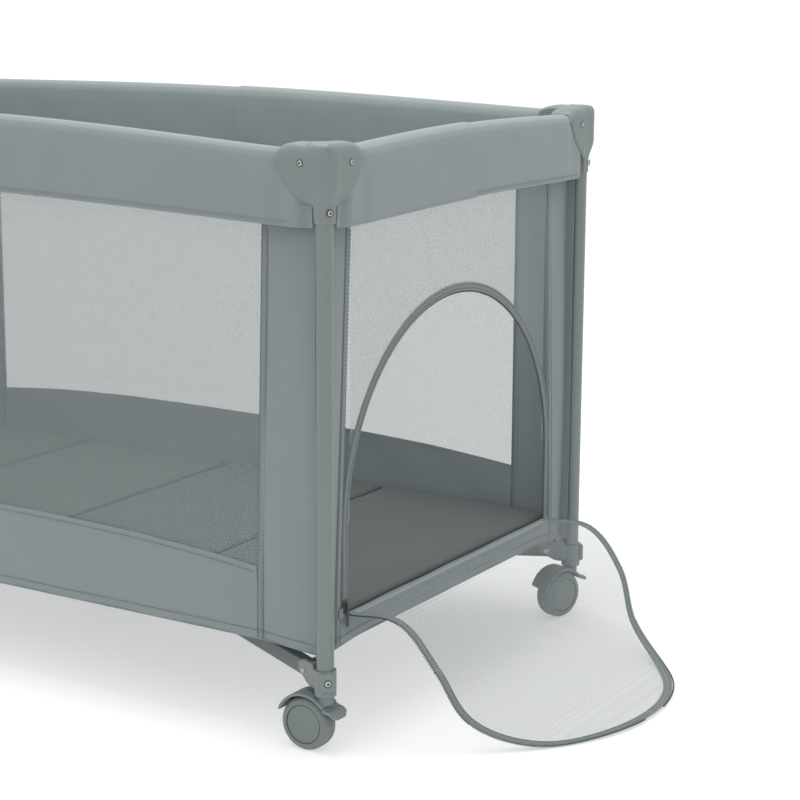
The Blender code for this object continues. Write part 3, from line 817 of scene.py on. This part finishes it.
for side, s in sides.items():
    length = 2 * s["half"]
    stitches = bmesh.new()
    body = s["body"]
    for way, name in ((1, "a"), (-1, "b")):
        def panel(u, v):
            inner = windowEdge(side, 0.13 + 0.57 * v) + wall["binding"] * 0.6
            along = inner + (s["half"] - wall["end"] - inner) * u
            foot = footEdge(side, along)
            height = foot + (wall["top"] - foot) * v
            puff = 0.0016 * sin(pi * u) * sin(pi * min(1.0, v * 1.25))
            puff += 0.0006 * sin(along * 70 + height * 13)
            return onSide(side, way * along, wall["out"] + puff, height)

        bm = bmesh.new()
        clothGrid(bm, panel, 24, 48, thickness=wall["thick"])
        pillar = keepPiece("pillar_" + side + "_" + name, bm, clothUpright, body, sharp=80)
        folding(pillar, side)
        wide = s["half"] - wall["end"] - windowEdge(side, 0.4) - wall["binding"] * 0.6

        def edging(u, v):
            foot = footEdge(side, windowEdge(side, 0.13))
            height = foot + (wall["top"] - foot) * v
            along = windowEdge(side, height) + wall["binding"] * u
            proud = 0.0016 * sin(pi * min(1.0, max(0.0, u))) ** 0.5
            return onSide(side, way * along, wall["out"] + 0.0002 + proud, height)

        bm = bmesh.new()
        clothGrid(bm, edging, 8, 40, thickness=0.0016)
        binding = keepPiece("window_edge_" + side + "_" + name, bm, tapeCloth, body, sharp=80)
        folding(binding, side)
        wide = wall["binding"] * 1.11       # its raised middle takes up more cloth
        for inset in (0.0016, wall["binding"] - 0.0012):
            run = []
            for i in range(9):
                height = wall["foot"] + (0.652 - wall["foot"]) * i / 8
                along = way * (windowEdge(side, height) + inset)
                run.append(onSide(side, along, wall["out"] + 0.0018, height))
            sewn(stitches, run, s["out"])

    def skirtPlace(u, v):
        inner = windowEdge(side, 0.16) + 0.001
        along = inner * (2 * u - 1)
        foot, head = footEdge(side, along), windowSill(side, along)
        belly = 0.0022 * sin(pi * u) * sin(pi * v) + 0.0006 * sin(along * 43 + v * 5)
        return onSide(side, along, wall["out"] + belly, foot + (head - foot) * v)

    bm = bmesh.new()
    clothGrid(bm, skirtPlace, 60, 12, thickness=wall["thick"])
    skirt = keepPiece("skirt_" + side, bm, clothUpright, body, sharp=80)
    folding(skirt, side)
    inner = windowEdge(side, 0.16)
    deep = windowSill(side, inner * 0.6) - wall["foot"]
    if side == "door":
        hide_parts("wall_door")
    last = s["half"] - wall["end"] - 0.002
    hem = []
    for i in range(25):
        along = last * (i / 12 - 1)
        hem.append(onSide(side, along, wall["out"] + 0.0027, footEdge(side, along) + 0.011))
    sewn(stitches, hem, s["out"])
    if side != "door":
        lip = []
        for i in range(21):
            along = inner * (i / 10 - 1)
            lip.append(onSide(side, along, wall["out"] + 0.0024, windowSill(side, along) - 0.007))
        sewn(stitches, lip, s["out"])
    thread = keepPiece("wall_stitches_" + side, stitches, threadFinish, body)
    folding(thread, side)

    # a rolled cord along the foot of the cloth
    bm = bmesh.new()

    def footCord(u, v):
        along, turn = last * (2 * u - 1), 2 * pi * v
        height = footEdge(side, along) + wall["cord"] * sin(turn)
        return onSide(side, along, wall["out"] + 0.0002 + wall["cord"] * cos(turn), height)

    clothGrid(bm, footCord, 60, 10)
    bmesh.ops.remove_doubles(bm, verts=bm.verts, dist=0.00001)
    cord = keepPiece("foot_hem_" + side, bm, tapeCloth, body, sharp=80)
    folding(cord, side)

    if side == "door":
        def netPlace(u, v):
            (a, b), (c, d) = archAt(u), beyondArch(u)
            return onSide(side, a + (c - a) * v, wall["out"] - 0.0002, b + (d - b) * v)
        opening = 2 * door["half"] * (door["spring"] - door["sill"])
        opening += pi / 2 * door["half"] * (door["top"] - door["spring"])
        steps = (90, 6)
    else:
        def netPlace(u, v):
            along = (wall["edge"][side] + 0.002) * (2 * u - 1)
            foot = windowSill(side, along) - 0.003
            height = foot + (wall["netTop"] - foot) * v
            return onSide(side, along, wall["out"] - 0.0016 - 0.003 * sin(pi * u) * sin(pi * v), height)
        steps = (40, 18)
    bm = bmesh.new()
    clothGrid(bm, netPlace, *steps)
    bm.normal_update()
    away = [face for face in bm.faces if face.normal.dot(s["out"]) < 0]
    bmesh.ops.reverse_faces(bm, faces=away)
    knit = nearNet if side in ("front", "door") else farNet
    net = keepPiece("net_" + side, bm, knit, body, closed=False, sharp=80)
    folding(net, side)
    if side != "door":
        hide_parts("wall_" + side)
print("walls made")

doorTape = {
    # outwards from the arch, and proud of the cloth
    "section": (
        (-0.0016, 0.0002), (-0.0012, 0.0022), (0.0004, 0.0026), (0.0014, 0.0016),
        (0.0074, 0.0016), (0.0084, 0.0027), (0.0096, 0.0022), (0.0100, 0.0002),
    ),
    "seams": (0.0022, 0.0066),
    "teeth": -0.0026,
}


def archRun(grow, proud, count):
    # points along the door's arch
    run = []
    for i in range(count + 1):
        across, height = archAt(i / count, grow)
        run.append(onSide("door", across, wall["out"] + proud, height))
    return run


def tapePlace(u, v):
    grow, proud = rows(doorTape["section"], v)
    across, height = archAt(u, grow)
    return onSide("door", across, wall["out"] + proud, height)


bm = bmesh.new()
clothGrid(bm, tapePlace, 120, 21, thickness=0.0008)
tape = keepPiece("door_tape", bm, tapeCloth, "corner_front_door", sharp=80)
folding(tape, "door")
bm = bmesh.new()
for grow in doorTape["seams"]:
    sewn(bm, archRun(grow, 0.0018, 60), (1, 0, 0))
thread = keepPiece("door_tape_stitches", bm, threadFinish, "corner_front_door")
folding(thread, "door")

zipTeeth = {"pitch": 0.0030, "size": (0.0014, 0.0020, 0.0016)}


def teethAlong(bm, points, out):
    # zip teeth at an even pitch along the points
    points = [Vector(p) for p in points]
    rest = 0.0
    for a, b in zip(points, points[1:]):
        along = b - a
        run = along.length
        along.normalize()
        turn = Matrix((along, out.cross(along), out)).transposed().to_4x4()
        while rest < run:
            made = bmesh.ops.create_cube(bm, size=1.0)["verts"]
            bmesh.ops.scale(bm, vec=zipTeeth["size"], verts=made)
            bmesh.ops.transform(bm, matrix=Matrix.Translation(a + along * rest) @ turn, verts=made)
            rest += zipTeeth["pitch"]
        rest -= run


bm = bmesh.new()
teethAlong(bm, archRun(doorTape["teeth"], 0.0006, 90), Vector((1, 0, 0)))
teeth = keepPiece("door_zip_teeth", bm, zipFinish, "corner_front_door")
folding(teeth, "door")

joints = {joint["name"]: joint for joint in frame["joints"]}
hinges = [Vector(joints["door_flap"]["pos_m"])]
hinges += [Vector(joints["door_flap_bend_" + str(i)]["pos_m"]) for i in range(1, 5)]
tipLow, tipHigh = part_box("door_flap_5")
hinges.append(Vector((tipHigh.x, 0, (tipLow.z + tipHigh.z) / 2)))
flap = {
    "strip": (door["top"] - door["sill"]) / 5,
    "spring": door["spring"] - door["sill"],
    "tall": door["top"] - door["sill"],
    "tape": 0.0125,
    "hem": 0.0095,
    "edge": 0.0016,         # how far the teeth stand outside the tape
    # inwards from the edge, and proud of the net
    "section": (
        (0.0, 0.0), (0.0, 0.0016), (0.0014, 0.0020), (0.0024, 0.0012),
        (0.0100, 0.0012), (0.0112, 0.0018), (0.0125, 0.0004),
    ),
    "slopes": [],
}
for i, hinge in enumerate(hinges):
    before, after = hinges[max(0, i - 1)], hinges[min(5, i + 1)]
    flap["slopes"].append((after - before).normalized() * flap["strip"])


def flapCurve(s):
    # the hanging door's section, at s from its root, and its upward normal
    i = min(4, max(0, int(s / flap["strip"])))
    t = s / flap["strip"] - i
    p, q, m, n = hinges[i], hinges[i + 1], flap["slopes"][i], flap["slopes"][i + 1]
    point = p * (2 * t ** 3 - 3 * t ** 2 + 1) + m * (t ** 3 - 2 * t ** 2 + t)
    point += q * (3 * t ** 2 - 2 * t ** 3) + n * (t ** 3 - t ** 2)
    slope = p * (6 * t * t - 6 * t) + m * (3 * t * t - 4 * t + 1)
    slope = slope + q * (6 * t - 6 * t * t) + n * (3 * t * t - 2 * t)
    slope.normalize()
    return point, Vector((-slope.z, 0, slope.x))


def flapHalf(s, inset):
    # half the door's width at s, inside its outline by inset
    half, rise = door["half"] - inset, door["top"] - door["spring"] - inset
    if s <= flap["spring"]:
        return half
    return half * sqrt(max(0.0, 1 - min(1.0, (s - flap["spring"]) / rise) ** 2))


def flapSpot(i, u, inset):
    # a distance from the root inside strip i; the last strip ends at its own tip
    first = flap["strip"] * i
    last = min(flap["strip"] * (i + 1), flap["tall"] - inset)
    return first + (last - first) * (sin(u * pi / 2) if i == 4 else u)


for i in range(5):
    body = "door_flap_" + str(i + 1)

    def netStrip(u, v):
        s = flapSpot(i, u, flap["tape"] - 0.001)
        point, normal = flapCurve(s)
        across = flapHalf(s, flap["tape"] - 0.001) * (2 * v - 1)
        return point + Vector((0, across, 0)) + normal * 0.0002

    bm = bmesh.new()
    clothGrid(bm, netStrip, 14, 30)
    bmesh.ops.remove_doubles(bm, verts=bm.verts, dist=0.00001)
    bmesh.ops.dissolve_degenerate(bm, dist=0.00001, edges=bm.edges)
    bm.normal_update()
    bmesh.ops.reverse_faces(bm, faces=[face for face in bm.faces if face.normal.x + face.normal.z < 0])
    strip = keepPiece("flap_net_" + str(i + 1), bm, shadedFlapNet, body, closed=False, sharp=80)
    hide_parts("door_flap_" + str(i + 1))
    folding(strip, "door")

    edging, threads, teeth = bmesh.new(), bmesh.new(), bmesh.new()
    if i == 0:
        # the hem that the flap hangs from
        def hemStrip(u, v):
            point, normal = flapCurve(0.0004 + flap["hem"] * u)
            return point + Vector((0, (door["half"] - flap["tape"]) * (2 * v - 1), 0)) + normal * 0.0008

        clothGrid(edging, hemStrip, 3, 30)
    for way in (1, -1):
        def tapeStrip(u, v):
            inset, proud = rows(flap["section"], v)
            s = flapSpot(i, u, inset)
            point, normal = flapCurve(s)
            return point + Vector((0, way * flapHalf(s, inset), 0)) + normal * (proud - 0.0004)

        clothGrid(edging, tapeStrip, 16, 18)
        for inset in (0.0036, 0.0088):
            run = []
            for k in range(13):
                s = flapSpot(i, k / 12, inset)
                point, normal = flapCurve(s)
                run.append(point + Vector((0, way * flapHalf(s, inset), 0)) + normal * 0.0010)
            sewn(threads, run, flapCurve(flapSpot(i, 0.5, 0))[1])
        run = []
        for k in range(25):
            s = flapSpot(i, k / 24, -flap["edge"])
            point, normal = flapCurve(min(s, flap["tall"]))
            run.append(point + Vector((0, way * flapHalf(s, -flap["edge"]), 0)) + normal * 0.0004)
        teethAlong(teeth, run, flapCurve(flapSpot(i, 0.5, 0))[1])
    bmesh.ops.remove_doubles(edging, verts=edging.verts, dist=0.00002)
    bmesh.ops.dissolve_degenerate(edging, dist=0.00001, edges=edging.edges)
    bmesh.ops.recalc_face_normals(edging, faces=edging.faces)
    bmesh.ops.solidify(edging, geom=edging.faces[:], thickness=0.0012)
    rim = keepPiece("flap_tape_" + str(i + 1), edging, tapeCloth, body, sharp=80)
    thread = keepPiece("flap_stitches_" + str(i + 1), threads, threadFinish, body)
    chain = keepPiece("flap_teeth_" + str(i + 1), teeth, zipFinish, body)
    for piece in (rim, thread, chain):
        folding(piece, "door")
    first, last = flap["strip"] * i, flap["strip"] * (i + 1)
    inset = flap["tape"] - 0.001
    wide = 2 * flapHalf(first, inset)
print("door flap made")

bm = bmesh.new()
low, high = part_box("zip_slider")
block(bm, low, (high.x - 0.0012, high.y, high.z), round=0.0012, segments=3)
block(
    bm, (high.x - 0.0016, low.y + 0.0030, low.z + 0.004), (high.x + 0.0010, high.y - 0.0030, high.z - 0.002),
    round=0.0008,
)
slider = keepPiece("slider_body", bm, zipFinish, "zip_slider", sharp=30)
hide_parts("zip_slider")
bm = bmesh.new()
low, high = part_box("zip_pull")
block(bm, (low.x, low.y + 0.0012, high.z - 0.010), (high.x, high.y - 0.0012, high.z), round=0.0006)
block(bm, (low.x, low.y, low.z), (high.x, high.y, high.z - 0.008), round=0.0007, segments=3)
block(
    bm, (low.x - 0.0004, low.y + 0.0016, low.z + 0.003), (high.x + 0.0004, high.y - 0.0016, high.z - 0.012),
    round=0.0004,
)
pull = keepPiece("pull_tab", bm, zipFinish, "zip_pull", sharp=30)
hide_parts("zip_pull")
bm = bmesh.new()
patchAt = onSide("door", -0.2785, wall["out"] + 0.0028, 0.1640)
size = Vector((0.0014, 0.0105, 0.0130))
block(bm, patchAt - size / 2, patchAt + size / 2, round=0.0006)
patch = keepPiece("zip_patch", bm, tapeCloth, "corner_front_door")
folding(patch, "door")
print("zip made")

floorAt = {"height": 0.1338, "thick": 0.0012, "x": 0.5845, "y": 0.3150}
for corner, (sx, sy) in corners.items():
    def quarter(u, v):
        sag = 0.0006 * sin(pi * u) * sin(pi * v)
        return Vector((sx * floorAt["x"] * u, sy * floorAt["y"] * v, floorAt["height"] - sag))

    bm = bmesh.new()
    clothGrid(bm, quarter, 24, 14, thickness=floorAt["thick"])
    base = keepPiece("floor_" + corner, bm, clothLying, "strut_" + corner, sharp=80)
    if corner == "front_door":
        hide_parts("floor_sheet")
    inward = strutLine(corner)
    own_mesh(base)
low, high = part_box("hub_pull_strap")


def strapPlace(u, v):
    x = low.x + 0.004 + (high.x - low.x - 0.008) * u
    return Vector((x, low.y + (high.y - low.y) * v, 0.1346 + 0.0006 * sin(pi * v)))


bm = bmesh.new()
clothGrid(bm, strapPlace, 6, 20, thickness=0.0010)
strap = keepPiece("webbing_strap", bm, tapeCloth, "hub")
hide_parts("hub_pull_strap")
print("floor made")

mat = {
    "shrink": (0.0004, 0.0004, 0.0022),     # of a pad before it is blown up
    "round": 0.0018,
    "voxel": 0.0045,
    "pressure": 3.0,
    "most": 0.0024,         # that a point may move
    "aside": 0.2,           # share of a sideways move that is kept
    "steps": 14,
}


def swollen(low, high):
    # one pad, blown up a little by a cloth simulation, resting flat
    bm = bmesh.new()
    inset = Vector(mat["shrink"])
    block(bm, low + inset, high - inset, round=mat["round"], segments=3)
    mesh = bpy.data.meshes.new("pad_start")
    bm.to_mesh(mesh)
    bm.free()
    pad = bpy.data.objects.new("pad_start", mesh)
    bpy.context.scene.collection.objects.link(pad)
    skin = pad.modifiers.new("skin", "REMESH")
    skin.mode = "VOXEL"
    skin.voxel_size = mat["voxel"]
    settle(pad)
    start = [v.co.copy() for v in pad.data.vertices]
    cloth = pad.modifiers.new("cloth", "CLOTH")
    cloth.settings.use_pressure = True
    cloth.settings.uniform_pressure_force = mat["pressure"]
    cloth.settings.effector_weights.gravity = 0.0
    cloth.point_cache.frame_start = 1
    cloth.point_cache.frame_end = mat["steps"]
    for step in range(1, mat["steps"] + 1):
        bpy.context.scene.frame_set(step)
    settle(pad)
    bpy.context.scene.frame_set(1)
    for v, first in zip(pad.data.vertices, start):
        move = v.co - first
        move.x *= mat["aside"]
        move.y *= mat["aside"]
        if move.length > mat["most"]:
            move *= mat["most"] / move.length
        v.co = first + move
        v.co.z = max(low.z, min(high.z + 0.0015, v.co.z))
    shape = pad.data
    bpy.data.objects.remove(pad)
    return shape


firstLow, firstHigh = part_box("mat_pad_1")
padShape = swollen(firstLow, firstHigh)
for i in range(1, 5):
    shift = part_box("mat_pad_" + str(i))[0] - firstLow
    bm = bmesh.new()
    bm.from_mesh(padShape)
    bmesh.ops.translate(bm, vec=shift, verts=bm.verts)
    pad = keepPiece("pad_" + str(i), bm, matCloth, "mat_pad_" + str(i), sharp=80)
    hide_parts("mat_pad_" + str(i))
print("mat made")

bm = bmesh.new()
bmesh.ops.create_grid(bm, x_segments=4, y_segments=4, size=40.0)
mesh = bpy.data.meshes.new("ground")
bm.to_mesh(mesh)
bm.free()
ground = bpy.data.objects.new("ground", mesh)
bpy.context.scene.collection.objects.link(ground)
groundMaterial, tree, shader = freshMaterial("ground", 0.9)
shader.inputs["Base Color"].default_value = (0.56, 0.56, 0.56, 1)
shader.inputs["Emission Color"].default_value = (1, 1, 1, 1)
shader.inputs["Emission Strength"].default_value = 0.48
mesh.materials.append(groundMaterial)
ground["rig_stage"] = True

studio = {
    "world": 1.0,
    "lamps": (
        # where it hangs, what it points at, its size, its power
        ((0.6, -3.6, 2.2), (0, 0.3, 0.20), 2.6, 7.0),
        ((0.2, 0.0, 2.4), (0.2, 0.1, 0), 1.2, 30.0),
    ),
}
world = bpy.data.worlds.new("studio")
bpy.context.scene.world = world
world.use_nodes = True
sky = world.node_tree.nodes["Background"]
sky.inputs["Color"].default_value = (1, 1, 1, 1)
sky.inputs["Strength"].default_value = studio["world"]
for i, (spot, target, size, power) in enumerate(studio["lamps"]):
    lamp = bpy.data.lights.new("lamp_" + str(i), "AREA")
    lamp.shape = "SQUARE"
    lamp.size = size
    lamp.energy = power
    holder = bpy.data.objects.new("lamp_" + str(i), lamp)
    bpy.context.scene.collection.objects.link(holder)
    holder.location = spot
    holder.rotation_euler = (Vector(target) - Vector(spot)).to_track_quat("-Z", "Y").to_euler()

view = {
    "place": (1.99783, -2.41126, 1.01028),
    "azimuth": 0.54818,     # radians round from looking along +Y
    "fall": 0.21202,        # radians below level
    "roll": 0.00689,
    "focal": 2126.98 / 800, # in picture widths
    "shift": (-0.0185, -0.0201),
}
camera = bpy.data.cameras.new("camera")
camera.sensor_width = 36.0
camera.lens = view["focal"] * camera.sensor_width
camera.shift_x, camera.shift_y = view["shift"]
holder = bpy.data.objects.new("camera", camera)
bpy.context.scene.collection.objects.link(holder)
level = Vector((cos(view["azimuth"]), sin(view["azimuth"]), 0))
forward = up.cross(level) * cos(view["fall"]) - up * sin(view["fall"])
lift = level.cross(forward)
right = level * cos(view["roll"]) + lift * sin(view["roll"])
above = right.cross(forward)
turn = Matrix((right, above, -forward)).transposed().to_4x4()
holder.matrix_world = Matrix.Translation(view["place"]) @ turn
bpy.context.scene.camera = holder
bpy.context.scene.view_settings.view_transform = "Standard"
print("stage set")

size = {"cad": [list(cadLow), list(cadHigh)], "visual": [list(corner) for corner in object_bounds()]}
